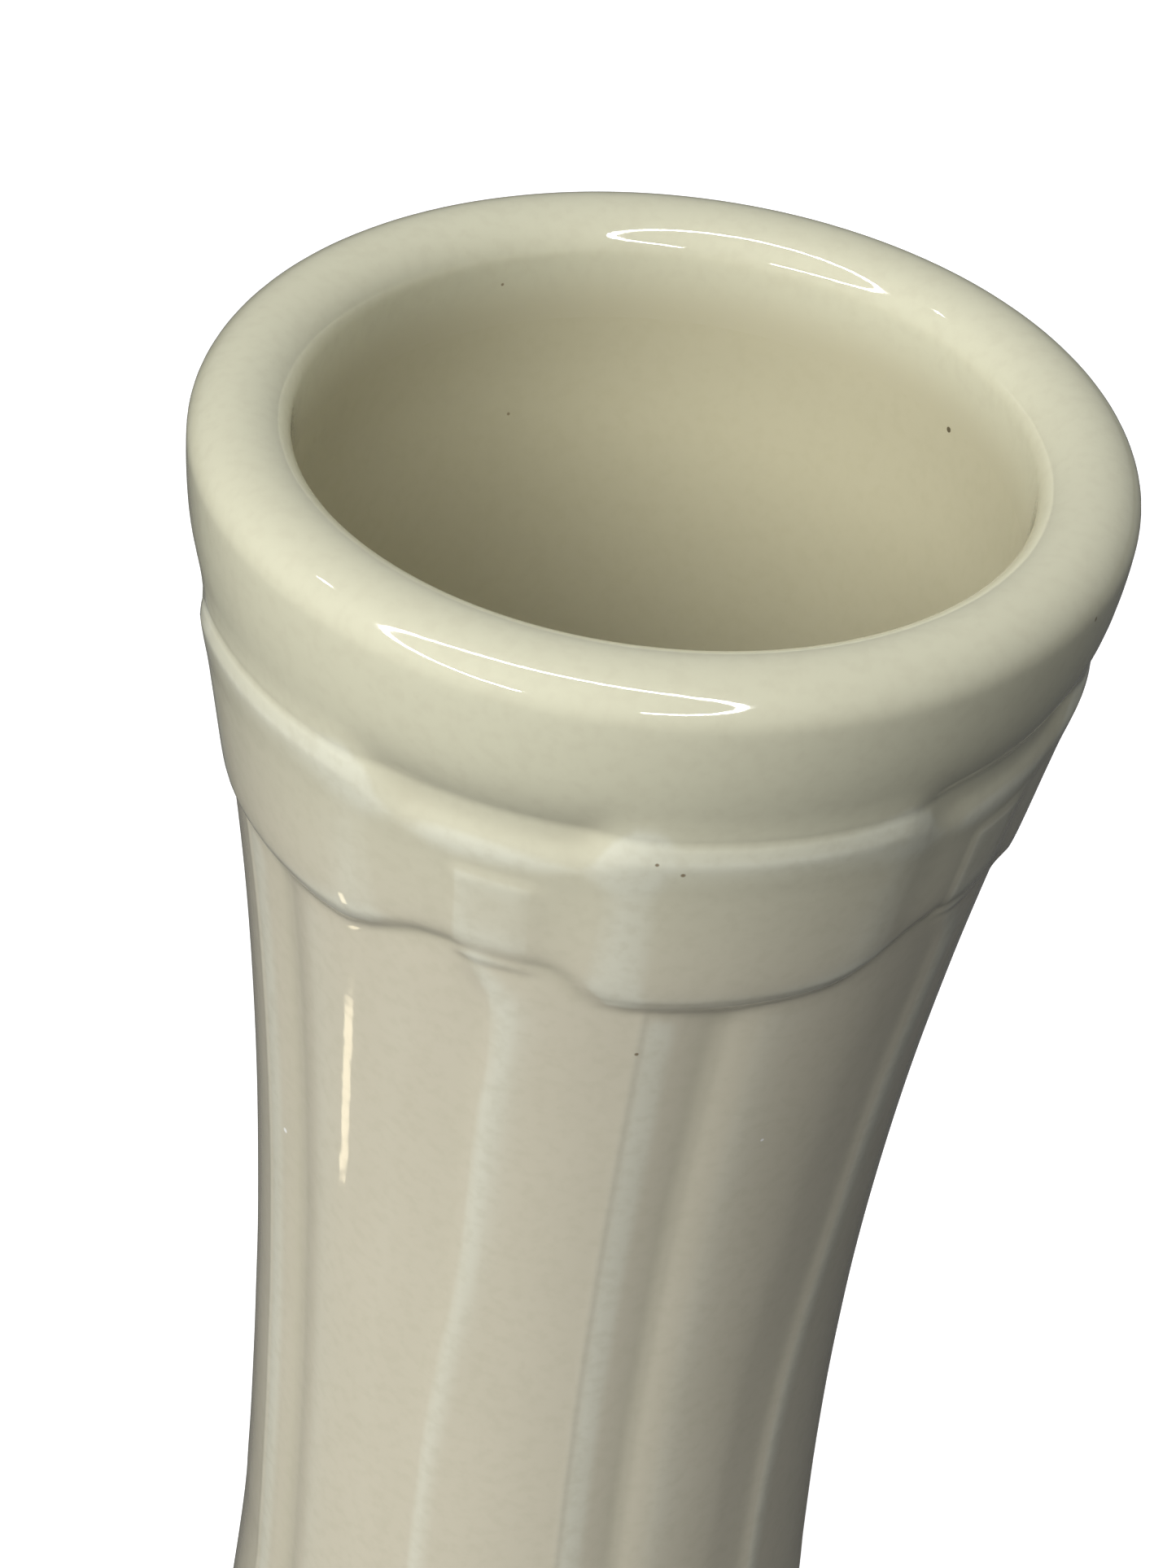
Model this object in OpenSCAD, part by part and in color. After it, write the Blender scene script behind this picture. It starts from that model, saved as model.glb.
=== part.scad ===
// Flower vase with a woven relief: a slip-cast clay body under a glossy glaze.
// Millimetres, +Z up, origin at the centre of the foot where it rests.

/* [Overall] */
// Height from the resting face to the crown of the bare clay lip
total_height = 179.6; // [150:0.2:215]
// Outside diameter of the bare clay lip
rim_d = 69.2; // [60:0.2:84]
// Bare wall diameter at the waist, without the relief
waist_d = 49.4; // [44:0.2:60]
// Height of the waist above the resting face
waist_height = 84; // [66:1:104]
// Wall diameter just above the foot
foot_d = 60; // [52:0.2:70]

/* [Walls] */
// Thickness of the cast wall
wall = 4.6; // [3:0.1:6]
// Thickness of the rolled lip, measured across the crown
lip_thickness = 6.8; // [5:0.1:9]
// Height of the rounded crown of the lip above its widest line
lip_crown = 2.8; // [2:0.1:5]
// Length of the outer lip flank that runs down into the collar
lip_flank = 10.5; // [6:0.1:12]
// Length of the inner lip flank that turns back to the inner wall, where the two glazes meet
lip_tuck = 5.5; // [3:0.1:8]
// Thickness of the clay floor
floor_thickness = 5.5; // [4:0.1:8]
// Radius of the inside corner between the floor and the wall
floor_corner = 9; // [5:0.5:14]

/* [Woven band] */
// Drop from the lip crown to the top of the band where it passes over
band_drop = 12.8; // [11:0.2:20]
// Height of the band where it passes over
over_height = 20; // [12:0.5:26]
// How far the band stands out where it passes over
over_raise = 1.6; // [1.3:0.1:3]
// Angle of each stretch that passes over
over_angle = 47; // [30:1:54]
// Height of the band where it passes under
under_height = 13.4; // [8:0.2:18]
// How far the band stands out where it passes under
under_raise = 1.1; // [1:0.1:2]
// Further drop of the band top where it passes under
under_drop = 3; // [1:0.2:6]
// Height of the rounded upper shoulder of the band
band_shoulder = 3; // [1:0.2:4]

/* [Uprights] */
// Number of uprights and of crossings of each kind
upright_count = 5; // [3:1:8]
// Angle of the right-hand strip of each upright
near_angle = 26; // [14:1:30]
// How far the right-hand strip stands out
near_raise = 0.8; // [0.6:0.1:1.2]
// Angle of the left-hand strip of each upright
far_angle = 27; // [14:1:30]
// How far the left-hand strip stands out
far_raise = 0.5; // [0.3:0.1:0.8]
// Height above the resting face where the uprights end
upright_start = 11; // [8:0.5:30]
// Height of the rounded lower end of an upright
strip_shoulder = 2.4; // [1:0.2:4]

/* [Foot] */
// Height of the foot roll up to its widest line
foot_roll = 3.6; // [2:0.2:6]
// Width of the ring that the vase stands on
ring_width = 4.5; // [3:0.1:8]
// Depth of the hollow under the base
base_hollow = 1.8; // [0.8:0.1:3]

/* [Glaze] */
// Thickness of the glaze on the outside
outside_coat = 0.4; // [0.2:0.05:0.6]
// Thickness of the glaze on the inside
inside_coat = 0.4; // [0.2:0.05:0.6]
// Height of the bare clay left above the resting face
bare_foot = 2.4; // [1.6:0.1:3.4]

/* [Hidden] */
$fn = 96;
rim_r = rim_d / 2;
waist_r = waist_d / 2;
foot_r = foot_d / 2;
pitch = 360 / upright_count;
crown_r = rim_r - lip_thickness / 2;
crown_half = lip_thickness / 2;
lip_z = total_height - lip_crown;
floor_z = base_hollow + floor_thickness;
upper_curve = 2.1;
lower_curve = 2;
arc_steps = 7;
wall_steps = 9;
foot_bevel = 1;
lap_share = 0.3;
strip_stagger = 0.8;
band_steps = 5;
band_edge = 1.2;
edge_share = 0.6;
collar_share = 0.93;
upper_z = lip_z - waist_height;
lower_z = waist_height - foot_roll;
collar_z = lip_z - lip_flank * collar_share;
tuck_z = lip_z - lip_tuck;
band_top = total_height - band_drop;
joint_angle = -18.5;
over_middle = 19.5;

// Radius of the bare wall at a height
function wall_r(z) =
    z > waist_height
    ? waist_r + (rim_r - waist_r) * pow(min((z - waist_height) / upper_z, 1), upper_curve)
    : waist_r + (foot_r - waist_r) * pow(min((waist_height - z) / lower_z, 1), lower_curve);

// Radius of the inside of the wall at a height
function bore_r(z) = wall_r(z) - wall;

// Even heights from one level to another
function levels(low, high, steps) = [for (i = [0:steps]) low + (high - low) * i / steps];

// A quarter of an ellipse about a centre, from one angle to another
function arc(r, z, across, up, from, to) = [
    for (i = [0:arc_steps])
        let (a = from + (to - from) * i / arc_steps)
        [r + across * cos(a), z + up * sin(a)]
];

// Outer flank of the lip, down to where it meets the wall
function lip_flank_r(z) = crown_r + crown_half * sqrt(max(0, 1 - pow((lip_z - z) / lip_flank, 2)));
function body_r(z) = z < lip_z - lip_flank ? wall_r(z) : max(wall_r(z), lip_flank_r(z));

// Outside line from the resting face to the crown, with a coat of the given thickness
function outside_line(coat) = concat(
    [[foot_r - foot_roll + coat, 0], [foot_r - foot_bevel + coat, foot_roll - foot_bevel]],
    [for (z = levels(foot_roll, waist_height, wall_steps)) [wall_r(z) + coat, z]],
    [for (z = levels(waist_height, collar_z, wall_steps)) if (z > waist_height) [wall_r(z) + coat, z]],
    [for (z = levels(collar_z, lip_z, arc_steps)) if (z > collar_z && z < lip_z) [body_r(z) + coat, z]],
    arc(crown_r, lip_z, crown_half + coat, lip_crown + coat, 0, 90)
);

// Inside line from the middle of the floor to where the lip tucks in, with a coat of the given thickness
function inside_line(coat) = concat(
    [[0, floor_z + coat]],
    arc(bore_r(floor_z + floor_corner) - floor_corner, floor_z + floor_corner,
        floor_corner - coat, floor_corner - coat, -90, 0),
    [for (z = levels(floor_z + floor_corner, waist_height, wall_steps))
        if (z > floor_z + floor_corner) [bore_r(z) - coat, z]],
    [for (z = levels(waist_height, tuck_z, wall_steps)) if (z > waist_height) [bore_r(z) - coat, z]]
);

// Inner side of the lip, from its narrowest line up to the crown
function mouth_line(coat) = arc(crown_r, lip_z, crown_half + coat, lip_crown + coat, 180, 90);

function reversed(line) = [for (i = [len(line) - 1:-1:0]) line[i]];

// Line of the outside coat, over the crown and down to where the lip tucks in
function coat_line(coat) = concat(
    outside_line(coat),
    [for (p = reversed(mouth_line(coat))) if (p[0] < crown_r - 0.01) p],
    [[bore_r(tuck_z) - coat, tuck_z]]
);

// Rise of a rounded edge, from 0 at its start to 1 at its full height
function rounded(t) = sqrt(1 - pow(1 - t, 2));

// Outside of the band between two heights: an abrupt lower edge and a rounded upper shoulder
function band_line(low, high, raise, coat) = concat(
    [[wall_r(low) + raise * edge_share + coat, low - coat]],
    [for (z = levels(low + band_edge, high - band_shoulder, band_steps)) [wall_r(z) + raise + coat, z]],
    [for (t = [0.7, 0.4, 0.1])
        let (z = high - band_shoulder * t)
        [wall_r(z) + raise * rounded(t) + coat, z + coat * (1 - t)]]
);

// Outside of an upright strip from its rounded lower end up into the band
function strip_line(low, high, raise, coat) = concat(
    [for (t = [0.1, 0.4, 0.7])
        let (z = low + strip_shoulder * t)
        [wall_r(z) + raise * rounded(t) + coat, z - coat * (1 - t)]],
    [for (z = levels(low + strip_shoulder, waist_height, wall_steps)) [wall_r(z) + raise + coat, z]],
    [for (z = levels(waist_height, high, wall_steps)) if (z > waist_height) [wall_r(z) + raise + coat, z]]
);

// Section under an outside line, closed at a root radius inside the body
function section_under(line, root) =
    concat([[root, line[0][1]]], line, [[root, line[len(line) - 1][1]]]);

// Relief with one section between two angles, each side grown by the coat
module wedge(from, to, line, root, coat) {
    grow = coat / line[len(line) - 1][0] * 180 / PI;
    rotate([0, 0, from - grow - 90])
        rotate_extrude(angle = to - from + 2 * grow)
            polygon(section_under(line, root));
}

// The weave: uprights of two lapped strips, and the band over and under them
module weave(coat) {
    over = band_line(band_top - over_height, band_top, over_raise, coat);
    under_top = band_top - under_drop;
    under = band_line(under_top - under_height, under_top, under_raise, coat);
    strip_top = under_top - under_height / 2;
    near = strip_line(upright_start, strip_top, near_raise, coat);
    far = strip_line(upright_start + strip_stagger, strip_top, far_raise, coat);
    rotate_extrude()
        polygon(section_under(under, waist_r * 0.8));
    for (i = [0:upright_count - 1])
        rotate([0, 0, i * pitch]) {
            wedge(over_middle - over_angle / 2, over_middle + over_angle / 2, over, waist_r * 0.7, coat);
            wedge(joint_angle, joint_angle + near_angle, near, waist_r * 0.6, coat);
            wedge(joint_angle - far_angle, joint_angle + near_angle * lap_share, far, waist_r * 0.5, coat);
        }
}

// The outside form as a closed solid
module outside_form(coat) {
    rotate_extrude()
        polygon(concat(outside_line(coat), [[0, total_height + coat], [0, 0]]));
    weave(coat);
}

// Clay body: wall, lip, weave, floor and foot ring, cast in one
module clay_body() {
    color("burlywood")
        difference() {
            outside_form(0);
            rotate_extrude()
                polygon(concat(inside_line(0), mouth_line(0), [[crown_r, total_height + 1], [0, total_height + 1]]));
            translate([0, 0, -1])
                cylinder(h = base_hollow + 1, r = foot_r - foot_roll - ring_width);
        }
}

// Glaze on the outside, from the bare foot over wall and weave and round the lip
module outside_glaze() {
    color("ivory") {
        difference() {
            rotate_extrude()
                polygon(concat(coat_line(0), reversed(coat_line(outside_coat))));
            weave(0);
            translate([0, 0, -1])
                cylinder(h = bare_foot + 1, r = rim_r + foot_r);
        }
        difference() {
            weave(outside_coat);
            outside_form(0);
        }
    }
}

// Glaze on the inside, from below the lip down over the floor
module inside_glaze() {
    color("lemonchiffon")
        rotate_extrude()
            polygon(concat(inside_line(0), reversed(inside_line(inside_coat))));
}

clay_body();
outside_glaze();
inside_glaze();
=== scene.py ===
import math

import bpy
import numpy as np
from mathutils import Matrix, Vector


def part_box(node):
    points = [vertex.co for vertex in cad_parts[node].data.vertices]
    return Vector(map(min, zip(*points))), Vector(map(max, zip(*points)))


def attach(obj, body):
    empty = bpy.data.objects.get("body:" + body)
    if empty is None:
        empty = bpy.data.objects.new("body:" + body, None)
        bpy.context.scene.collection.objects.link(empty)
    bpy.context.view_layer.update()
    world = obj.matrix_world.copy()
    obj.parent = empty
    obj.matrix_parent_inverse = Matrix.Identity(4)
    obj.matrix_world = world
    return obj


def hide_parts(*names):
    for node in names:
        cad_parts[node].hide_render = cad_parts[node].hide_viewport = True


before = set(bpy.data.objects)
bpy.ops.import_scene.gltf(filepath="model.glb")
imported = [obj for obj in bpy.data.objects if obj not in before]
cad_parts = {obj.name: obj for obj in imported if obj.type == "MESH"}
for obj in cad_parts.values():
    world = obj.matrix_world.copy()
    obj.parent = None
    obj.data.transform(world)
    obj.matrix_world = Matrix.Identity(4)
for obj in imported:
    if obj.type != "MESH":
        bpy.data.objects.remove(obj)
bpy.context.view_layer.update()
print("frame loaded")

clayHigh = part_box("clay_body")[1]
coatLow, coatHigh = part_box("outside_glaze")
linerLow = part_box("inside_glaze")[0]

# sizes in metres; heights are above the foot, and angles run from -Y towards +X in degrees
vase = {
    "height": clayHigh[2],
    "rimRadius": clayHigh[0],
    "waistRadius": 0.0247,
    "waistHeight": 0.084,
    "footRadius": 0.030,
    "wall": 0.0046,
    "lipThickness": 0.0068,
    "lipCrown": 0.0028,
    "lipFlank": 0.0104,
    "flankBlend": 0.0011,  # how softly the flank of the lip runs into the wall
    "flankFade": (0.35, 0.75),  # where that softening sets in, as shares of the flank
    "lipTuck": 0.0125,
    "tuckBlend": 0.0026,
    "seamDrop": 0.0055,  # from the widest line of the lip down to where the two glazes meet
    "clearance": 0.00003,  # keeps the glaze just inside the solid part
    "floorHeight": linerLow[2],
    "floorCorner": 0.009,
    "upperCurve": 2.1,
    "lowerCurve": 2.0,
    # slope of the slightly uneven rim, lower on the -X side, and where it sets in
    "rimLean": 0.012,
    "leanStart": 0.115,
    # sideways slump towards +X, by share of the height, in millimetres
    "slump": [
        (0.0, 0.0), (0.1, 0.12), (0.2, 0.25), (0.3, 0.25), (0.36, 0.05), (0.44, -0.28), (0.52, -0.50),
        (0.6, -0.60), (0.68, -0.58), (0.76, -0.48), (0.84, -0.38), (0.92, -0.26), (0.97, -0.06), (1.0, 0.0),
    ],
}
foot = {
    "roll": 0.0036,
    "ringWidth": 0.0045,
    "hollow": 0.0018,
    "hollowEdge": (0.0010, 0.0006),
    "ringEdge": 0.0008,
    "inset": 0.0016,
    "joinRise": 0.0002,  # the foot roll runs into the wall this far above the edge of the glaze
}
# how finely each line is divided: upper end of a stretch of the outside and its step, then arcs and steps
divisions = {
    "outside": [(0.012, 0.0012), (0.1450, 0.0016), (0.1525, 0.00024), (0.164, 0.0006), (0.170, 0.0004)],
    "flank": 0.0005,
    "underGlaze": 3.2,  # how many times coarser the faces hidden under the outside glaze are
    "crown": 14,
    "tuck": 0.0006,
    "bore": 0.003,
    "floorCorner": 12,
    "floorShares": (0.75, 0.5, 0.25, 0),
    "baseShares": (0, 0.3, 0.6, 0.85),
    "footEdge": 4,
    "footRoll": 8,
}
lipHeight = vase["height"] - vase["lipCrown"]
crownRadius = vase["rimRadius"] - vase["lipThickness"] / 2
coat = coatHigh[2] - clayHigh[2] - vase["clearance"]
bareFoot = coatLow[2]
seamHeight = lipHeight - vase["seamDrop"]
insideMargin = 0.001  # a point this far inside the wall's line is not on the outside


def wallRadius(z):
    rim, waist, low = vase["rimRadius"], vase["waistRadius"], vase["footRadius"]
    if z > vase["waistHeight"]:
        share = min((z - vase["waistHeight"]) / (lipHeight - vase["waistHeight"]), 1)
        return waist + (rim - waist) * share ** vase["upperCurve"]
    share = min((vase["waistHeight"] - z) / (vase["waistHeight"] - foot["roll"]), 1)
    return waist + (low - waist) * share ** vase["lowerCurve"]


# 0 to 1 with a soft start and end
def eased(share):
    share = min(max(share, 0.0), 1.0)
    return share * share * (3 - 2 * share)


# extra that rounds the corner where two lines cross
def softer(a, b, reach):
    near = max(reach - abs(a - b), 0) / reach
    return near * near * reach / 4


def bodyRadius(z):
    drop = (lipHeight - z) / vase["lipFlank"]
    if drop >= 1:
        return wallRadius(z)
    lip = crownRadius + vase["lipThickness"] / 2 * math.sqrt(1 - drop * drop)
    wall = wallRadius(z)
    start, end = vase["flankFade"]
    return max(wall, lip) + softer(wall, lip, vase["flankBlend"]) * eased((drop - start) / (end - start))


def boreRadius(z):
    drop = min(max(lipHeight - z, 0) / vase["lipTuck"], 1)
    lip = crownRadius - vase["lipThickness"] / 2 * math.sqrt(1 - drop * drop)
    wall = wallRadius(z) - vase["wall"]
    return min(wall, lip) - softer(wall, lip, vase["tuckBlend"])


def quarter(radius, z, across, up, start, end, steps):
    turns = [math.radians(start + (end - start) * i / steps) for i in range(steps + 1)]
    return [(radius + across * math.cos(t), z + up * math.sin(t)) for t in turns]


def heights(low, high, step):
    count = max(1, round(abs(high - low) / step))
    return [low + (high - low) * i / count for i in range(count + 1)]


# outside of the wall from a height up to the crown, finest where the band's lower edge runs
def outsideLine(low, grow, coarse):
    line = []
    for high, step in divisions["outside"] + [(lipHeight, divisions["flank"])]:
        line += [(bodyRadius(z) + grow, z) for z in heights(low, high, step * coarse)][:-1]
        low = high
    half = vase["lipThickness"] / 2 + grow
    return line + quarter(crownRadius, lipHeight, half, vase["lipCrown"] + grow, 0, 90, divisions["crown"])


# from just past the crown down the inside of the lip to a height
def mouthLine(low, grow):
    half = vase["lipThickness"] / 2 + grow
    line = quarter(crownRadius, lipHeight, half, vase["lipCrown"] + grow, 90, 180, divisions["crown"])[1:]
    return line + [(boreRadius(z) - grow, z) for z in heights(lipHeight, low, divisions["tuck"])[1:]]


# from a height down the inner wall and over the floor to the axis
def insideLine(high, grow):
    corner = vase["floorCorner"]
    bend = vase["floorHeight"] + corner
    bore = boreRadius(bend) - corner
    line = [(boreRadius(z) - grow, z) for z in heights(high, bend, divisions["bore"])][:-1]
    line += quarter(bore, bend, corner - grow, corner - grow, 0, -90, divisions["floorCorner"])
    return line + [(share * bore, vase["floorHeight"] + grow) for share in divisions["floorShares"]]


# columns over one upright, crowded at the edges of the relief: middle and width in degrees, and extra weight
columns = {
    "perUpright": 56,
    "samples": 721,
    "plain": 0.55,
    "crowded": [(0, 5, 1.2), (26.5, 1.6, 4), (-32, 6, 1.2), (14, 4, 0.6), (-13, 5, 0.8)],
}


def columnAngles():
    half = 180 / weave["count"]
    local = np.linspace(-half, half, columns["samples"])
    weight = np.full(local.shape, columns["plain"])
    for middle, width, extra in columns["crowded"]:
        weight += extra * np.exp(-(((local - middle) / width) ** 2))
    total = np.concatenate([[0], np.cumsum((weight[1:] + weight[:-1]) / 2)])
    one = np.interp(np.arange(columns["perUpright"]) / columns["perUpright"] * total[-1], total, local)
    return np.concatenate([one + weave["joint"] + i * 2 * half for i in range(weave["count"])])


# turns a line of radius and height about the axis; a closed line makes a shell, an open one ends on the axis
def lathe(name, line, angles, closed):
    turns = np.radians(angles)
    verts = []
    rows = []
    for radius, z in line:
        if radius < 1e-6:
            rows.append([len(verts)])
            verts.append((0.0, 0.0, z))
            continue
        rows.append(list(range(len(verts), len(verts) + len(turns))))
        verts += [(radius * math.sin(t), -radius * math.cos(t), z) for t in turns]
    pairs = list(zip(rows, rows[1:])) + ([(rows[-1], rows[0])] if closed else [])
    faces = []
    count = len(turns)
    for low, high in pairs:
        for i in range(count):
            j = (i + 1) % count
            if len(low) == 1:
                faces.append((low[0], high[j], high[i]))
            elif len(high) == 1:
                faces.append((low[i], low[j], high[0]))
            else:
                faces.append((low[i], low[j], high[j], high[i]))
    mesh = bpy.data.meshes.new(name)
    mesh.from_pydata(verts, [], faces)
    mesh.validate()
    mesh.shade_smooth()
    piece = bpy.data.objects.new(name, mesh)
    bpy.context.scene.collection.objects.link(piece)
    return piece


# one value for each row of a turned mesh, stored on its points
def markRows(piece, name, line, angles, value):
    values = []
    for radius, z in line:
        values += [value(radius, z)] * (1 if radius < 1e-6 else len(angles))
    layer = piece.data.attributes.new(name, "FLOAT", "POINT")
    layer.data.foreach_set("value", values)


# the woven relief: angles in degrees, heights in metres
weave = {
    "count": 5,
    "joint": -18.5,
    "stripRise": 0.0008,
    "stripStart": 0.010,
    "stripFade": 0.004,
    "stripEnd": (0.1540, 0.1560),
    "overTop": 0.1677,
    "overBottom": 0.1472,
    "underTop": 0.1646,
    "underBottom": 0.1510,
    "overRise": 0.0016,
    "underRise": 0.0011,
    "lapBlend": 0.0006,
    "wobble": 0.00012,
    "wobbleScale": 38.0,
    "driftReach": 22.0,
    "hollowReach": 26,  # blur steps that set how wide a surrounding counts
    "fadeTop": 0.1750,  # the relief ends here, fading out over the depth below it
    "fadeDepth": 0.0060,
    "sharpEdge": 60,
    # across one upright: angle from the joint, and height as a share of the rise
    "across": [
        (-36, 0.16), (-34.5, 0.0), (-31.5, 0.22), (-28.5, 0.50), (-25, 0.64), (-14, 0.66), (-5, 0.53),
        (-2.8, 0.55), (2.3, 1.0), (3.6, 1.06), (6.5, 1.0), (18, 0.98), (25.2, 0.98), (26.2, 1.0),
        (27.2, 0.93), (30, 0.78), (33, 0.50), (36, 0.16),
    ],
    # 1 where the band passes over, 0 where it passes under: for its top and rise, and for its lower edge
    "over": [
        (-36, 1), (-18, 1), (-14, 0.8), (-9, 0.15), (-6, 0), (9, 0), (13, 0.06), (18, 0.55), (24, 1), (36, 1),
    ],
    "low": [
        (-36, 1), (-21, 0.97), (-15, 0.75), (-9, 0.32), (-4, 0.04), (0, 0), (11, 0), (14, 0.12), (19, 0.72),
        (25, 1), (36, 1),
    ],
    # band section from its lower edge to its top
    "section": [
        (-0.08, 0), (-0.03, 0.06), (0.01, 0.20), (0.05, 0.50), (0.1, 0.80), (0.16, 0.94), (0.3, 0.98),
        (0.55, 0.95), (0.68, 0.93), (0.76, 0.95), (0.82, 0.95), (0.88, 0.84), (0.95, 0.56), (1.02, 0.26),
        (1.1, 0.07), (1.18, 0),
    ],
    # drift of the joint with height, as a share of the height and in degrees
    "drift": [
        (0.0, -3), (0.2, -4.5), (0.46, -3), (0.57, -0.5), (0.65, 2.5), (0.75, 4.2), (0.80, 6), (0.845, 0),
        (1.0, 0),
    ],
}
# the tucked end of an upright over the band: its sides in degrees from the joint, its ends in metres
tongue = {
    "rise": 0.00018,
    "left": (-0.8, 0.6),
    "right": (9.0, 12.0),
    "bottom": (0.1500, 0.1512),
    "top": (0.1596, 0.1604),
}


class treeMaker:
    def __init__(self, tree):
        self.tree = tree

    def node(self, kind, inputs=(), **settings):
        made = self.tree.nodes.new(kind)
        for key, value in settings.items():
            setattr(made, key, value)
        for key, value in dict(inputs).items():
            self.feed(made.inputs[key], value)
        return made

    def feed(self, socket, value):
        if isinstance(value, bpy.types.NodeSocket):
            self.tree.links.new(value, socket)
        else:
            socket.default_value = value

    def math(self, operation, a, b=0.0, c=0.0):
        return self.node("ShaderNodeMath", {0: a, 1: b, 2: c}, operation=operation).outputs[0]

    def mix(self, share, plain, other):
        return self.node("ShaderNodeMix", {0: share, 6: plain, 7: other}, data_type="RGBA").outputs[2]

    def noise(self, place, scale, detail):
        inputs = {"Vector": place, "Scale": scale, "Detail": detail}
        return self.node("ShaderNodeTexNoise", inputs).outputs[0]

    def ramp(self, value, fromLow, fromHigh, toLow=0.0, toHigh=1.0, smooth=True):
        inputs = {"Value": value, "From Min": fromLow, "From Max": fromHigh}
        inputs.update({"To Min": toLow, "To Max": toHigh})
        kind = "SMOOTHSTEP" if smooth else "LINEAR"
        return self.node("ShaderNodeMapRange", inputs, interpolation_type=kind).outputs["Result"]

    # a curve through given points over its own range of x and y
    def curve(self, value, points):
        xs = [point[0] for point in points]
        ys = [point[1] for point in points]
        lowY = min(ys)
        highY = max(ys)
        across = self.ramp(value, xs[0], xs[-1], smooth=False)
        made = self.node("ShaderNodeFloatCurve", {"Value": across})
        mapping = made.mapping
        line = mapping.curves[0]
        scaled = [((x - xs[0]) / (xs[-1] - xs[0]), (y - lowY) / (highY - lowY)) for x, y in points]
        line.points[0].location = scaled[0]
        line.points[1].location = scaled[-1]
        for point in scaled[1:-1]:
            line.points.new(*point)
        for point in line.points:
            point.handle_type = "AUTO_CLAMPED"
        mapping.update()
        return self.ramp(made.outputs[0], 0, 1, lowY, highY, smooth=False)


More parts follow.
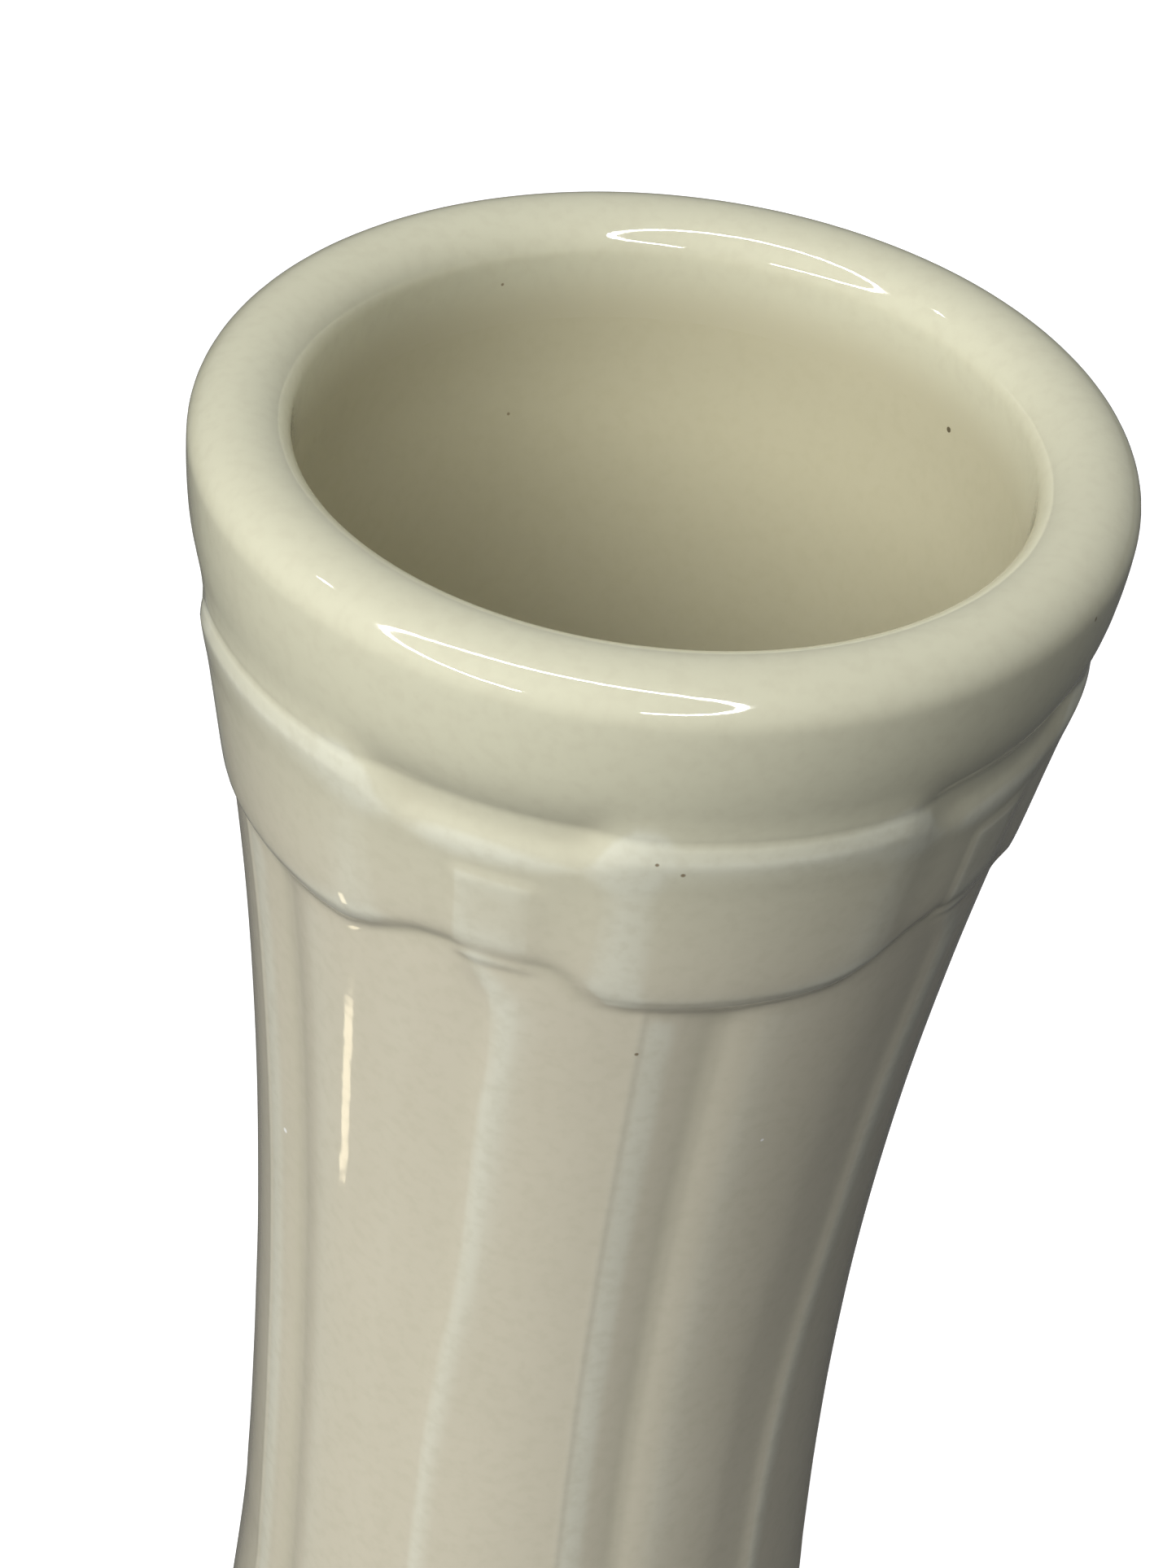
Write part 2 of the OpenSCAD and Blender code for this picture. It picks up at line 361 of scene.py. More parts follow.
def weaveTree():
    tree = bpy.data.node_groups.new("wovenRelief", "GeometryNodeTree")
    sockets = {}
    face = tree.interface
    face.new_socket("Geometry", in_out="INPUT", socket_type="NodeSocketGeometry")
    names = ["Count", "Joint", "Strip Rise", "Strip Start", "Over Top", "Over Bottom", "Under Top",
             "Under Bottom", "Over Rise", "Under Rise", "Tongue Rise", "Wobble", "Lean", "Rim Radius",
             "Height"]
    for name in names:
        sockets[name] = face.new_socket(name, in_out="INPUT", socket_type="NodeSocketFloat")
    sockets["Material"] = face.new_socket("Material", in_out="INPUT", socket_type="NodeSocketMaterial")
    face.new_socket("Geometry", in_out="OUTPUT", socket_type="NodeSocketGeometry")
    m = treeMaker(tree)
    entry = m.node("NodeGroupInput").outputs
    place = m.node("GeometryNodeInputPosition").outputs[0]
    split = m.node("ShaderNodeSeparateXYZ", {0: place}).outputs
    z = split[2]

    # angle from the nearest joint, drawn sideways with height
    angle = m.math("DEGREES", m.math("ARCTAN2", split[0], m.math("MULTIPLY", split[1], -1.0)))
    pitch = m.math("DIVIDE", 360.0, entry["Count"])
    half = m.math("DIVIDE", pitch, 2.0)
    minusHalf = m.math("MULTIPLY", half, -1.0)
    fromJoint = m.math("WRAP", m.math("SUBTRACT", angle, entry["Joint"]), half, minusHalf)
    upShare = m.math("DIVIDE", z, entry["Height"])
    drift = m.curve(upShare, weave["drift"])
    distance = m.math("DIVIDE", m.math("ABSOLUTE", fromJoint), weave["driftReach"])
    pull = m.math("MAXIMUM", m.math("SUBTRACT", 1.0, distance), 0.0)
    local = m.math("SUBTRACT", fromJoint, m.math("MULTIPLY", drift, pull))

    # uprights
    strips = m.math("MULTIPLY", m.curve(local, weave["across"]), entry["Strip Rise"])
    lowEnd = m.ramp(z, entry["Strip Start"], m.math("ADD", entry["Strip Start"], weave["stripFade"]))
    highEnd = m.ramp(z, *weave["stripEnd"], 1.0, 0.0)
    strips = m.math("MULTIPLY", strips, m.math("MULTIPLY", lowEnd, highEnd))

    # band
    over = m.curve(fromJoint, weave["over"])
    edge = m.curve(fromJoint, weave["low"])

    def blend(share, low, high):
        return m.math("ADD", low, m.math("MULTIPLY", share, m.math("SUBTRACT", high, low)))

    top = blend(over, entry["Under Top"], entry["Over Top"])
    bottom = blend(edge, entry["Under Bottom"], entry["Over Bottom"])
    rise = blend(over, entry["Under Rise"], entry["Over Rise"])
    along = m.math("DIVIDE", m.math("SUBTRACT", z, bottom), m.math("SUBTRACT", top, bottom))
    band = m.math("MULTIPLY", m.curve(along, weave["section"]), rise)

    # tongue
    left = m.ramp(fromJoint, *tongue["left"])
    side = m.math("MULTIPLY", left, m.ramp(fromJoint, *tongue["right"], 1.0, 0.0))
    tall = m.math("MULTIPLY", m.ramp(z, *tongue["bottom"]), m.ramp(z, *tongue["top"], 1.0, 0.0))
    tucked = m.math("MULTIPLY", m.math("MULTIPLY", side, tall), entry["Tongue Rise"])

    relief = m.math("ADD", m.math("SMOOTH_MAX", strips, band, weave["lapBlend"]), tucked)
    uneven = m.math("SUBTRACT", m.noise(place, weave["wobbleScale"], 1.0), 0.5)
    wobble = m.math("MULTIPLY", uneven, entry["Wobble"])
    share = m.node("GeometryNodeInputNamedAttribute", {"Name": "reliefShare"}, data_type="FLOAT").outputs[0]
    lift = m.math("MULTIPLY", m.math("ADD", relief, wobble), share)

    flat = m.node("ShaderNodeCombineXYZ", {0: split[0], 1: split[1], 2: 0.0}).outputs[0]
    outward = m.node("ShaderNodeVectorMath", {0: flat}, operation="NORMALIZE").outputs[0]
    offset = m.node("ShaderNodeVectorMath", {0: outward, "Scale": lift}, operation="SCALE").outputs[0]

    # leaning rim and slumped body
    leaning = m.math("MULTIPLY", m.ramp(z, vase["leanStart"], entry["Height"]), entry["Lean"])
    sink = m.math("MULTIPLY", m.math("SUBTRACT", split[0], entry["Rim Radius"]), leaning)
    slump = m.math("MULTIPLY", m.curve(upShare, vase["slump"]), 0.001)
    settling = m.node("ShaderNodeCombineXYZ", {0: slump, 1: 0.0, 2: sink}).outputs[0]
    offset = m.node("ShaderNodeVectorMath", {0: offset, 1: settling}, operation="ADD").outputs[0]

    # how far each point lies below its surroundings, for the depth of the glaze and for the painted shade in
    # hollows and painted highlight on raised edges
    lifts = {"Geometry": entry["Geometry"], "Name": "lift", "Value": lift}
    kept = m.node("GeometryNodeStoreNamedAttribute", lifts, data_type="FLOAT", domain="POINT")
    moved = m.node("GeometryNodeSetPosition", {"Geometry": kept.outputs[0], "Offset": offset})
    named = m.node("GeometryNodeInputNamedAttribute", {"Name": "lift"}, data_type="FLOAT").outputs[0]
    blur = {"Value": named, "Iterations": weave["hollowReach"]}
    blurred = m.node("GeometryNodeBlurAttribute", blur, data_type="FLOAT").outputs[0]
    hollows = {"Geometry": moved.outputs[0], "Name": "hollow", "Value": m.math("SUBTRACT", blurred, named)}
    stored = m.node("GeometryNodeStoreNamedAttribute", hollows, data_type="FLOAT", domain="POINT")
    real = m.node("GeometryNodeRealizeInstances", {"Geometry": stored.outputs[0]})
    finished = m.node("GeometryNodeSetMaterial", {"Geometry": real.outputs[0], "Material": entry["Material"]})
    m.node("NodeGroupOutput", {"Geometry": finished.outputs[0]})
    return tree, {name: socket.identifier for name, socket in sockets.items()}


# runs the relief on a turned mesh and keeps the result as a plain mesh
def pressWeave(piece, tree, sockets, material):
    modifier = piece.modifiers.new("weave", "NODES")
    modifier.node_group = tree
    values = {
        "Count": float(weave["count"]), "Joint": weave["joint"], "Strip Rise": weave["stripRise"],
        "Strip Start": weave["stripStart"], "Over Top": weave["overTop"], "Over Bottom": weave["overBottom"],
        "Under Top": weave["underTop"], "Under Bottom": weave["underBottom"], "Over Rise": weave["overRise"],
        "Under Rise": weave["underRise"], "Tongue Rise": tongue["rise"], "Wobble": weave["wobble"],
        "Lean": vase["rimLean"], "Rim Radius": vase["rimRadius"] + coat,
        "Height": vase["height"], "Material": material,
    }
    for name, value in values.items():
        modifier[sockets[name]] = value
    bpy.context.view_layer.update()
    evaluated = piece.evaluated_get(bpy.context.evaluated_depsgraph_get())
    plain = bpy.data.meshes.new_from_object(evaluated)
    piece.modifiers.remove(modifier)
    piece.data = plain
    plain.name = piece.name
    plain.set_sharp_from_angle(angle=math.radians(weave["sharpEdge"]))


# 0 on the outside and the lip, growing to 1 where the two glazes meet inside it: how much painted shade the
# mouth takes
def mouthShadeShare(radius, z):
    if radius > crownRadius or z > lipHeight or radius >= wallRadius(z) - coat:
        return 0.0
    return eased((lipHeight - z) / vase["seamDrop"])


# 1 on the outside, fading out over the flank of the lip
def onOutside(radius, z):
    if radius < wallRadius(z) - insideMargin:
        return 0.0
    return eased((weave["fadeTop"] - z) / weave["fadeDepth"])


# outside glaze: a closed shell from the dip line over the lip to where it tucks in
def outsideGlaze(material, tree, sockets):
    outer = outsideLine(bareFoot, coat, 1.0) + mouthLine(seamHeight, coat)
    inner = outsideLine(bareFoot, 0.0, divisions["underGlaze"]) + mouthLine(seamHeight, 0.0)
    line = outer + inner[::-1]
    piece = lathe("outside_glaze_coat", line, angles, True)
    markRows(piece, "reliefShare", line, angles, onOutside)
    markRows(piece, "inner", line, angles, mouthShadeShare)
    pressWeave(piece, tree, sockets, material)
    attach(piece, "root")
    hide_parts("outside_glaze")
    print("outside glaze", len(line), "rows", len(angles), "columns")


# inside glaze: a closed skin from below the lip down over the floor
def insideGlaze(material, tree, sockets):
    line = insideLine(seamHeight, coat)[::-1] + insideLine(seamHeight, 0.0)
    piece = lathe("inside_glaze_coat", line, angles, False)
    markRows(piece, "reliefShare", line, angles, lambda radius, z: 0.0)
    # the whole inside takes the painted shade colour
    markRows(piece, "inner", line, angles, lambda radius, z: 1.0)
    pressWeave(piece, tree, sockets, material)
    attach(piece, "root")
    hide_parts("inside_glaze")
    print("inside glaze", len(line), "rows")


# clay body under the glaze, bare at the foot
def clayBody(material, tree, sockets):
    ringOuter = vase["footRadius"] - foot["roll"]
    ringInner = ringOuter - foot["ringWidth"]
    hollow = foot["hollow"]
    across, up = foot["hollowEdge"]
    ringEdge = foot["ringEdge"]
    edgeSteps = divisions["footEdge"]
    line = [(share * ringInner, hollow) for share in divisions["baseShares"]]
    line += quarter(ringInner - foot["inset"], hollow - up, across, up, 90, 0, edgeSteps)
    line += quarter(ringInner + ringEdge, ringEdge, ringEdge, ringEdge, 180, 270, edgeSteps)
    line += quarter(ringOuter, foot["roll"], foot["roll"], foot["roll"], -90, -20, divisions["footRoll"])
    line += outsideLine(bareFoot + foot["joinRise"], 0.0, divisions["underGlaze"])
    line += mouthLine(seamHeight, 0.0) + insideLine(seamHeight, 0.0)[1:]
    piece = lathe("clay_body_cast", line, angles, False)
    markRows(piece, "reliefShare", line, angles, onOutside)
    pressWeave(piece, tree, sockets, material)
    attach(piece, "root")
    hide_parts("clay_body")
    print("clay body", len(line), "rows")


def newMaterial(name):
    material = bpy.data.materials.new(name)
    material.use_nodes = True
    tree = material.node_tree
    tree.nodes.clear()
    return material, treeMaker(tree)


# shared effect: how deep the glaze lies, from the relief's hollows and edges, with painted shade in the
# hollows, painted highlight on the raised edges and painted shade inside the mouth
glazeDepthAndShade = {
    "pooledShade": 0.0004,
    "edge": -0.00015,
    "upper": (0.145, 0.172),
    "cloudScale": 55.0,
    "cloud": (0.35, 0.7),
    "grainScale": 900.0,
    "grain": (0.4, 0.75),
    "roughness": (0.035, 0.07),
}


def glazeDepthAndShadeGroup():
    tree = bpy.data.node_groups.new("glazeDepthAndShade", "ShaderNodeTree")
    face = tree.interface
    for name, kind, value in (
        ("Body Color", "NodeSocketColor", (0.8, 0.8, 0.7, 1)),
        ("Pooled And Shade Color", "NodeSocketColor", (0.6, 0.6, 0.5, 1)),
        ("Edge And Highlight Color", "NodeSocketColor", (0.9, 0.9, 0.8, 1)),
        ("Inner Shade Color", "NodeSocketColor", (0.6, 0.55, 0.4, 1)),
        ("Upper Color", "NodeSocketColor", (0.8, 0.8, 0.7, 1)),
        ("Pooling And Shade", "NodeSocketFloat", 1.0),
        ("Breaking And Highlight", "NodeSocketFloat", 1.0),
        ("Mottle", "NodeSocketFloat", 0.1),
        ("Grain", "NodeSocketFloat", 0.25),
    ):
        face.new_socket(name, in_out="INPUT", socket_type=kind).default_value = value
    face.new_socket("Color", in_out="OUTPUT", socket_type="NodeSocketColor")
    face.new_socket("Roughness", in_out="OUTPUT", socket_type="NodeSocketFloat")
    m = treeMaker(tree)
    entry = m.node("NodeGroupInput").outputs
    hollow = m.node("ShaderNodeAttribute", attribute_name="hollow").outputs["Fac"]
    place = m.node("ShaderNodeTexCoord").outputs["Object"]
    inner = m.node("ShaderNodeAttribute", attribute_name="inner").outputs["Fac"]
    # darker colour in the hollows and under the band: partly real pooled glaze, partly painted shade
    pooledShade = m.math("MULTIPLY", m.ramp(hollow, 0.0, glazeDepthAndShade["pooledShade"]), entry["Pooling And Shade"])
    # lighter colour on the raised edges: partly real breaking glaze, partly painted highlight
    edge = m.math("MULTIPLY", m.ramp(hollow, 0.0, glazeDepthAndShade["edge"]), entry["Breaking And Highlight"])
    upper = m.ramp(m.node("ShaderNodeSeparateXYZ", {0: place}).outputs[2], *glazeDepthAndShade["upper"])
    color = m.mix(upper, entry["Body Color"], entry["Upper Color"])
    color = m.mix(pooledShade, color, entry["Pooled And Shade Color"])
    color = m.mix(edge, color, entry["Edge And Highlight Color"])
    # darker colour inside the mouth: painted shade
    color = m.mix(inner, color, entry["Inner Shade Color"])
    cloud = m.ramp(m.noise(place, glazeDepthAndShade["cloudScale"], 3.0), *glazeDepthAndShade["cloud"])
    color = m.mix(m.math("MULTIPLY", cloud, entry["Mottle"]), color, entry["Pooled And Shade Color"])
    fine = m.noise(place, glazeDepthAndShade["grainScale"], 2.0)
    grain = m.math("MULTIPLY", m.ramp(fine, *glazeDepthAndShade["grain"]), entry["Grain"])
    color = m.mix(grain, color, entry["Pooled And Shade Color"])
    rough = m.ramp(fine, 0.3, 0.7, *glazeDepthAndShade["roughness"])
    m.node("NodeGroupOutput", {"Color": color, "Roughness": rough})
    return tree


# shared effect: sparse specks and pinholes
def specksGroup():
    tree = bpy.data.node_groups.new("specks", "ShaderNodeTree")
    face = tree.interface
    for name, kind, value in (
        ("Color", "NodeSocketColor", (0.8, 0.8, 0.7, 1)),
        ("Speck Color", "NodeSocketColor", (0.2, 0.17, 0.12, 1)),
        ("Spacing", "NodeSocketFloat", 120.0),
        ("Size", "NodeSocketFloat", 0.035),
        ("Amount", "NodeSocketFloat", 0.12),
    ):
        face.new_socket(name, in_out="INPUT", socket_type=kind).default_value = value
    face.new_socket("Color", in_out="OUTPUT", socket_type="NodeSocketColor")
    face.new_socket("Pit", in_out="OUTPUT", socket_type="NodeSocketFloat")
    m = treeMaker(tree)
    entry = m.node("NodeGroupInput").outputs
    place = m.node("ShaderNodeTexCoord").outputs["Object"]
    cell = m.node("ShaderNodeTexVoronoi", {"Vector": place, "Scale": entry["Spacing"]}, feature="F1")
    near = m.math("LESS_THAN", cell.outputs["Distance"], entry["Size"])
    pick = m.node("ShaderNodeSeparateColor", {0: cell.outputs["Color"]}).outputs
    chosen = m.math("LESS_THAN", pick[0], entry["Amount"])
    spot = m.math("MULTIPLY", near, chosen)
    color = m.mix(spot, entry["Color"], entry["Speck Color"])
    m.node("NodeGroupOutput", {"Color": color, "Pit": spot})
    return tree


# shared effect: single flaws at chosen places, each by its angle, its height in mm and its size in mm
darkFlaws = [
    (8.6, 163.5, 0.24), (5.4, 164.4, 0.20), (7.3, 143.1, 0.22),
    (-148, 174.5, 0.18), (-151, 162.5, 0.18), (63.5, 176.8, 0.26),
]
paleFlaws = [(-58.7, 115.8, 0.32), (31.0, 131.0, 0.2)]


def lengthOf(m, a, b):
    return m.math("SQRT", m.math("ADD", m.math("MULTIPLY", a, a), m.math("MULTIPLY", b, b)))


def flawsGroup(name, flaws):
    tree = bpy.data.node_groups.new(name, "ShaderNodeTree")
    face = tree.interface
    for label, kind in (("Color", "NodeSocketColor"), ("Flaw Color", "NodeSocketColor")):
        face.new_socket(label, in_out="INPUT", socket_type=kind)
    face.new_socket("Color", in_out="OUTPUT", socket_type="NodeSocketColor")
    m = treeMaker(tree)
    entry = m.node("NodeGroupInput").outputs
    place = m.node("ShaderNodeSeparateXYZ", {0: m.node("ShaderNodeTexCoord").outputs["Object"]}).outputs
    radius = lengthOf(m, place[0], place[1])
    around = m.math("ARCTAN2", place[0], m.math("MULTIPLY", place[1], -1.0))
    total = 0.0
    for azimuth, height, size in flaws:
        side = m.math("MULTIPLY", m.math("SUBTRACT", around, math.radians(azimuth)), radius)
        rise = m.math("SUBTRACT", place[2], height / 1000)
        total = m.math("MAXIMUM", total, m.ramp(lengthOf(m, side, rise), size / 1000, size / 2500))
    color = m.mix(total, entry["Color"], entry["Flaw Color"])
    m.node("NodeGroupOutput", {"Color": color})
    return tree


flawColors = {"dark": (0.27, 0.22, 0.14, 1), "pale": (0.95, 0.95, 0.92, 1)}


def glazeMaterial(name, groups, look):
    material, m = newMaterial(name)
    depth = m.node("ShaderNodeGroup", node_tree=groups["depth"])
    for key, value in look["depth"].items():
        depth.inputs[key].default_value = value
    specks = m.node("ShaderNodeGroup", {"Color": depth.outputs["Color"]}, node_tree=groups["specks"])
    for key, value in look["specks"].items():
        specks.inputs[key].default_value = value
    color = specks.outputs["Color"]
    for kind, flawColor in flawColors.items():
        inputs = {"Color": color, "Flaw Color": flawColor}
        color = m.node("ShaderNodeGroup", inputs, node_tree=groups[kind + "Flaws"]).outputs["Color"]
    place = m.node("ShaderNodeTexCoord").outputs["Object"]
    level = m.math("SUBTRACT", m.noise(place, look["peelScale"], 2.0), specks.outputs["Pit"])
    bump = m.node("ShaderNodeBump", {"Strength": look["peelStrength"], "Distance": 0.0002, "Height": level})
    shader = m.node("ShaderNodeBsdfPrincipled", {
        "Base Color": color, "Roughness": depth.outputs["Roughness"], "Normal": bump.outputs[0],
        "IOR": look["ior"], "Coat Weight": look["coatWeight"], "Coat Roughness": 0.03,
    })
    m.node("ShaderNodeOutputMaterial", {"Surface": shader.outputs[0]})
    return material


clayLook = {
    "dark": (0.60, 0.50, 0.38, 1),
    "pale": (0.74, 0.66, 0.53, 1),
    "specks": {"Speck Color": (0.22, 0.13, 0.08, 1), "Spacing": 900.0, "Size": 0.16, "Amount": 0.10},
    "grainScale": 1400.0,
    "cloudScale": 120.0,
    "roughness": (0.75, 0.95),
}


def clayMaterial(groups):
    material, m = newMaterial("bareClay")
    place = m.node("ShaderNodeTexCoord").outputs["Object"]
    grain = m.noise(place, clayLook["grainScale"], 6.0)
    tone = m.mix(m.noise(place, clayLook["cloudScale"], 4.0), clayLook["dark"], clayLook["pale"])
    specks = m.node("ShaderNodeGroup", {"Color": tone, **clayLook["specks"]}, node_tree=groups["specks"])
    bump = m.node("ShaderNodeBump", {"Strength": 0.5, "Distance": 0.0002, "Height": grain})
    rough = m.ramp(grain, 0.3, 0.7, *clayLook["roughness"])
    inputs = {"Base Color": specks.outputs["Color"], "Roughness": rough, "Normal": bump.outputs[0]}
    shader = m.node("ShaderNodeBsdfPrincipled", inputs)
    m.node("ShaderNodeOutputMaterial", {"Surface": shader.outputs[0]})
    return material


outsideLook = {
    "depth": {"Body Color": (0.655, 0.615, 0.485, 1), "Pooled And Shade Color": (0.545, 0.520, 0.385, 1),
              "Edge And Highlight Color": (0.780, 0.790, 0.670, 1), "Inner Shade Color": (0.535, 0.505, 0.355, 1),
              "Upper Color": (0.640, 0.630, 0.475, 1),
              "Pooling And Shade": 0.6, "Breaking And Highlight": 0.6, "Mottle": 0.12},
    "specks": {"Speck Color": (0.10, 0.09, 0.07, 1), "Spacing": 150.0, "Size": 0.04, "Amount": 0.02},
    "peelScale": 260.0, "peelStrength": 0.12, "ior": 1.5, "coatWeight": 0.3,
}
# inside glaze colours, darker than the outside glaze: painted shade inside the vase
shadedInsideLook = {
    "depth": {"Body Color": (0.535, 0.505, 0.355, 1), "Pooled And Shade Color": (0.475, 0.445, 0.300, 1),
              "Edge And Highlight Color": (0.600, 0.580, 0.430, 1), "Inner Shade Color": (0.535, 0.505, 0.355, 1),
              "Upper Color": (0.535, 0.505, 0.355, 1),
              "Pooling And Shade": 0.5, "Breaking And Highlight": 0.4, "Mottle": 0.15},
    "specks": {"Speck Color": (0.12, 0.10, 0.06, 1), "Spacing": 140.0, "Size": 0.04, "Amount": 0.03},
    "peelScale": 220.0, "peelStrength": 0.14, "ior": 1.5, "coatWeight": 0.2,
}

groups = {"depth": glazeDepthAndShadeGroup(), "specks": specksGroup(),
          "darkFlaws": flawsGroup("darkFlaws", darkFlaws), "paleFlaws": flawsGroup("paleFlaws", paleFlaws)}
creamGlaze = glazeMaterial("creamGlaze", groups, outsideLook)
shadedLinerGlaze = glazeMaterial("shadedLinerGlaze", groups, shadedInsideLook)
bareClay = clayMaterial(groups)

angles = columnAngles()
tree, sockets = weaveTree()
outsideGlaze(creamGlaze, tree, sockets)
insideGlaze(shadedLinerGlaze, tree, sockets)
clayBody(bareClay, tree, sockets)

# camera: close above the mouth, turned a little about its own axis
view = {
    "distance": 7.29 * coatHigh[0],
    "elevation": 31.6,
    "roll": 7.64,
    "tilt": 6.35,
    "pan": 0.535,
    "lens": 80.07,
    "sensor": 36,
    "nearest": 0.01,
}


def turn(axis, degrees):
    return Matrix.Rotation(math.radians(degrees), 3, axis)


def addCamera():
    up = math.radians(view["elevation"])
    eye = Vector((0, -view["distance"] * math.cos(up), coatHigh[2] + view["distance"] * math.sin(up)))
    ahead = (Vector((0, 0, coatHigh[2])) - eye).normalized()
    right = ahead.cross(Vector((0, 0, 1))).normalized()
    down = ahead.cross(right)
    base = Matrix((right, down, ahead))
    rows = turn("Z", view["roll"]) @ turn("X", view["tilt"]) @ turn("Y", view["pan"]) @ base
    data = bpy.data.cameras.new("camera")
    data.lens = view["lens"]
    data.sensor_width = view["sensor"]
    data.clip_start = view["nearest"]
    camera = bpy.data.objects.new("camera", data)
    bpy.context.scene.collection.objects.link(camera)
    axes = Matrix((rows[0], -rows[1], -rows[2])).transposed()
    camera.matrix_world = Matrix.Translation(eye) @ axes.to_4x4()
    bpy.context.scene.camera = camera


addCamera()


# direction from the mouth at an angle round the vase and an angle up
def toward(azimuth, elevation):
    around = math.radians(azimuth)
    up = math.radians(elevation)
    return Vector((math.sin(around) * math.cos(up), -math.cos(around) * math.cos(up), math.sin(up)))


mouth = Vector((0, 0, coatHigh[2]))

ringLamp = {
    "azimuth": -20.0,
    "elevation": 42.0,
    "distance": 1.2,
    "halfWidth": 0.84,
    "halfHeight": 0.64,
    "tube": 0.034,
    "gapMiddle": -75.0,
    "gapWidth": 44.0,
    "steps": 96,
    "strength": 45.0,
}


def emission(name, color, strength):
    material, m = newMaterial(name)
    shader = m.node("ShaderNodeEmission", {"Color": color, "Strength": strength})
    m.node("ShaderNodeOutputMaterial", {"Surface": shader.outputs[0]})
    return material


# a ring-shaped lamp with a gap at its stand, seen only in the gloss
def addRingLamp():
    lamp = ringLamp
    facing = toward(lamp["azimuth"], lamp["elevation"])
    centre = mouth + facing * lamp["distance"]
    side = Vector((0, 0, 1)).cross(facing).normalized()
    upward = facing.cross(side)
    start = lamp["gapMiddle"] + lamp["gapWidth"] / 2
    sweep = 360 - lamp["gapWidth"]
    steps = lamp["steps"]
    verts = []
    for i in range(steps + 1):
        t = math.radians(start + sweep * i / steps)
        for tube in (-lamp["tube"], lamp["tube"]):
            across = side * math.cos(t) * (lamp["halfWidth"] + tube)
            verts.append(centre + across + upward * math.sin(t) * (lamp["halfHeight"] + tube))
    faces = [(2 * i, 2 * i + 1, 2 * i + 3, 2 * i + 2) for i in range(steps)]
    mesh = bpy.data.meshes.new("ringLamp")
    mesh.from_pydata([tuple(v) for v in verts], [], faces)
    ring = bpy.data.objects.new("ringLamp", mesh)
    bpy.context.scene.collection.objects.link(ring)
    mesh.materials.append(emission("ringLight", (1.0, 1.0, 1.0, 1), lamp["strength"]))
    ring.visible_camera = False
    ring.visible_diffuse = False


# soft boxes that light the vase but don't show in its gloss
softBoxes = [
    {"name": "leftSoftBox", "azimuth": -50, "elevation": 22, "distance": 0.9, "width": 0.6, "height": 0.8,
     "power": 5.0, "color": (1.0, 0.98, 0.95)},
    {"name": "keyBox", "azimuth": -20, "elevation": 42, "distance": 1.2, "width": 1.3, "height": 1.0,
     "power": 13.6, "color": (1.0, 1.0, 1.0)},
    {"name": "backFill", "azimuth": 155, "elevation": 20, "distance": 1.0, "width": 0.8, "height": 0.6,
     "power": 6.0, "color": (1.0, 1.0, 1.0)},
]


def addSoftBox(box):
    data = bpy.data.lights.new(box["name"], "AREA")
    data.shape = "RECTANGLE"
    data.size = box["width"]
    data.size_y = box["height"]
    data.energy = box["power"]
    data.color = box["color"]
    lamp = bpy.data.objects.new(box["name"], data)
    bpy.context.scene.collection.objects.link(lamp)
    place = mouth + toward(box["azimuth"], box["elevation"]) * box["distance"]
    facing = (place - mouth).to_track_quat("Z", "Y").to_matrix().to_4x4()
    lamp.matrix_world = Matrix.Translation(place) @ facing
    lamp.visible_glossy = False


# small lit objects: emissive rectangles about a point, facing the vase, hidden from the camera
spots = [
    {"name": "warmSpot", "centre": Vector((-0.111, -0.020, 0.014)), "width": 0.007, "height": 0.011,
     "color": (1.0, 0.86, 0.60, 1), "strength": 3.2},
    {"name": "smallLamp", "centre": toward(-95, 50) * 1.2, "width": 0.05, "height": 0.05,
     "color": (1.0, 1.0, 1.0, 1), "strength": 25.0},
]


def addSpot(look):
    centre = look["centre"]
    facing = (mouth * 0.7 - centre).normalized()
    side = Vector((0, 0, 1)).cross(facing).normalized() * look["width"] / 2
    upward = facing.cross(side).normalized() * look["height"] / 2
    corners = [centre - side - upward, centre + side - upward, centre + side + upward, centre - side + upward]
    mesh = bpy.data.meshes.new(look["name"])
    mesh.from_pydata([tuple(corner) for corner in corners], [], [(0, 1, 2, 3)])
    spot = bpy.data.objects.new(look["name"], mesh)
    bpy.context.scene.collection.objects.link(spot)
    mesh.materials.append(emission(look["name"] + "Light", look["color"], look["strength"]))
    spot.visible_camera = False


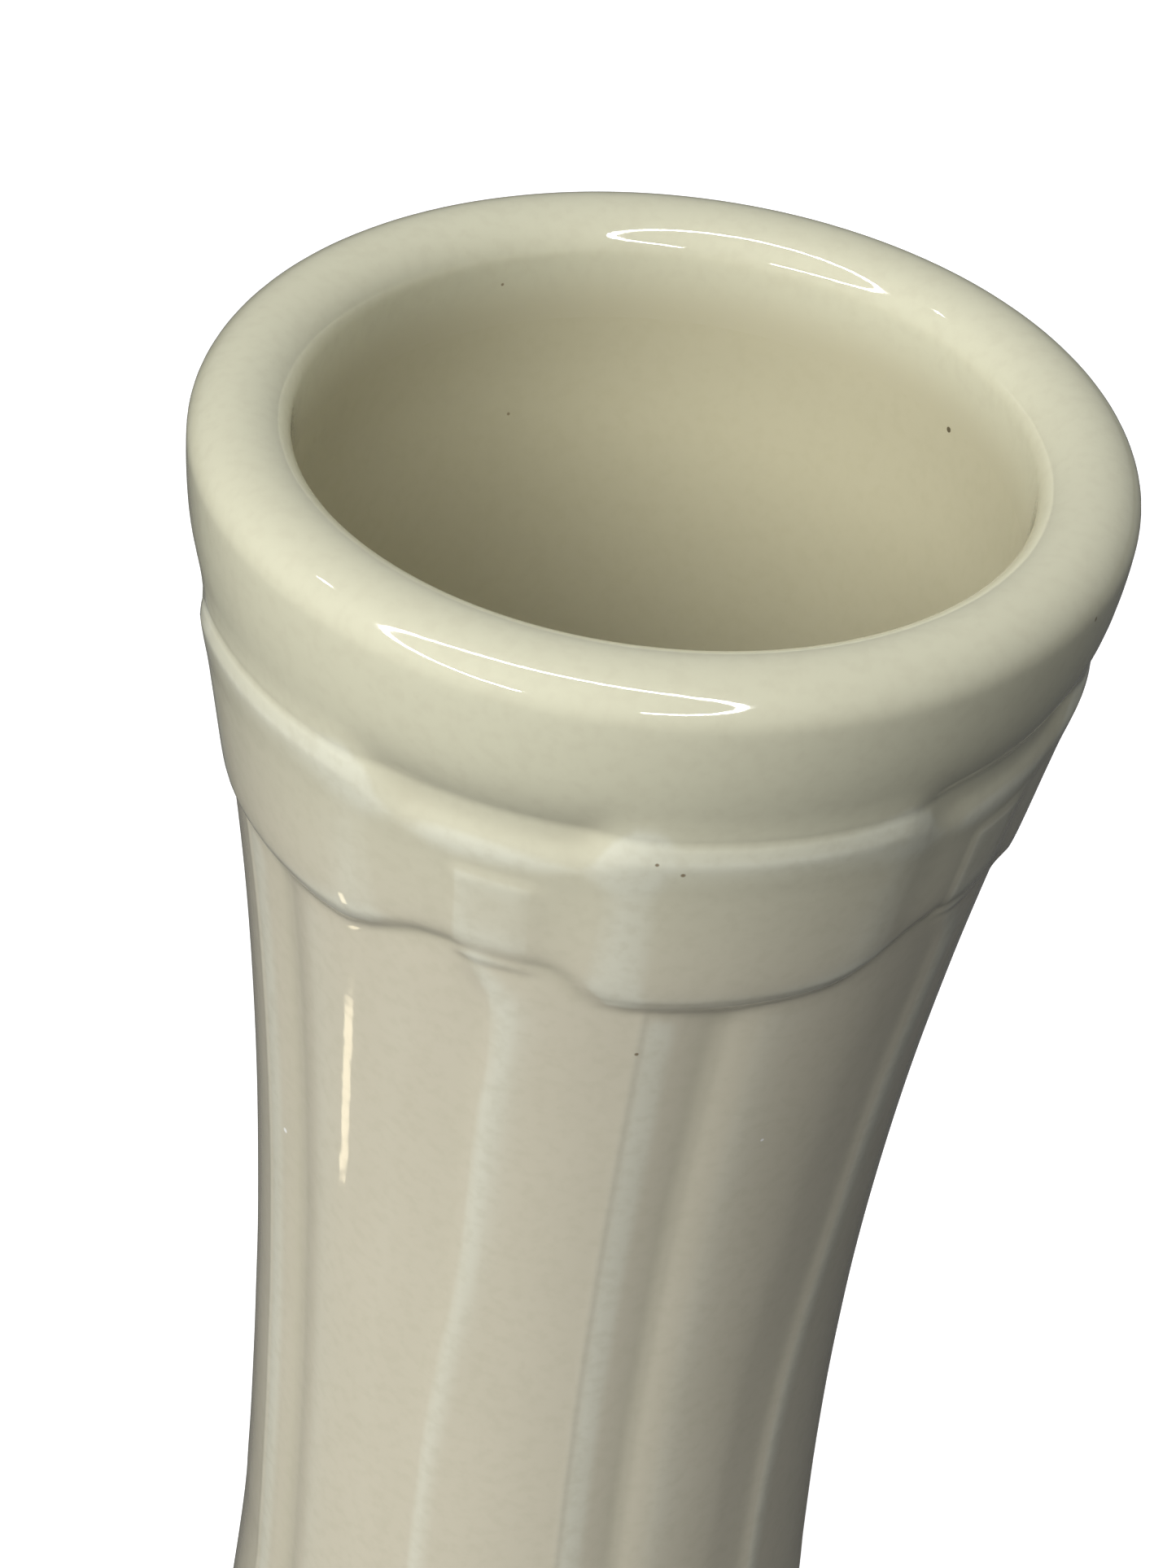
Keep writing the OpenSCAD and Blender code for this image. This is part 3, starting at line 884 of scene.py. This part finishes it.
# the floor and the room look pale to the camera but throw little light on the vase
backdrop = {
    "floorSize": 3.0,
    "floorLevel": -0.0001,
    "floorSeen": (0.5, 0.5, 0.5, 1),
    "floorGlow": 0.8,
    "floorLit": (0.10, 0.10, 0.097, 1),
    "roomSeen": 0.92,
    "roomColor": (0.9, 0.93, 1.0, 1),
    "roomLit": 0.13,
}


def addFloor():
    mesh = bpy.data.meshes.new("floor")
    size = backdrop["floorSize"]
    corners = [(-size, -size), (size, -size), (size, size), (-size, size)]
    mesh.from_pydata([(x, y, backdrop["floorLevel"]) for x, y in corners], [], [(0, 1, 2, 3)])
    floor = bpy.data.objects.new("floor", mesh)
    bpy.context.scene.collection.objects.link(floor)
    material, m = newMaterial("paleFloor")
    seen = m.node("ShaderNodeLightPath").outputs["Is Camera Ray"]
    bright = m.node("ShaderNodeEmission", {"Color": (1, 1, 1, 1), "Strength": backdrop["floorGlow"]})
    matt = m.node("ShaderNodeBsdfDiffuse", {"Color": backdrop["floorSeen"]})
    both = m.node("ShaderNodeAddShader", {0: bright.outputs[0], 1: matt.outputs[0]})
    dim = m.node("ShaderNodeBsdfDiffuse", {"Color": backdrop["floorLit"]})
    mixed = m.node("ShaderNodeMixShader", {0: seen, 1: dim.outputs[0], 2: both.outputs[0]})
    m.node("ShaderNodeOutputMaterial", {"Surface": mixed.outputs[0]})
    mesh.materials.append(material)


def addWorld():
    world = bpy.data.worlds.new("studio")
    world.use_nodes = True
    world.node_tree.nodes.clear()
    m = treeMaker(world.node_tree)
    seen = m.node("ShaderNodeLightPath").outputs["Is Camera Ray"]
    lit = m.node("ShaderNodeBackground", {"Color": backdrop["roomColor"], "Strength": backdrop["roomLit"]})
    pale = m.node("ShaderNodeBackground", {"Color": (1, 1, 1, 1), "Strength": backdrop["roomSeen"]})
    mixed = m.node("ShaderNodeMixShader", {0: seen, 1: lit.outputs[0], 2: pale.outputs[0]})
    m.node("ShaderNodeOutputWorld", {"Surface": mixed.outputs[0]})
    bpy.context.scene.world = world


addRingLamp()
for look in spots:
    addSpot(look)
for box in softBoxes:
    addSoftBox(box)
addFloor()
addWorld()
bpy.context.scene.view_settings.view_transform = "Standard"
print("stage set")
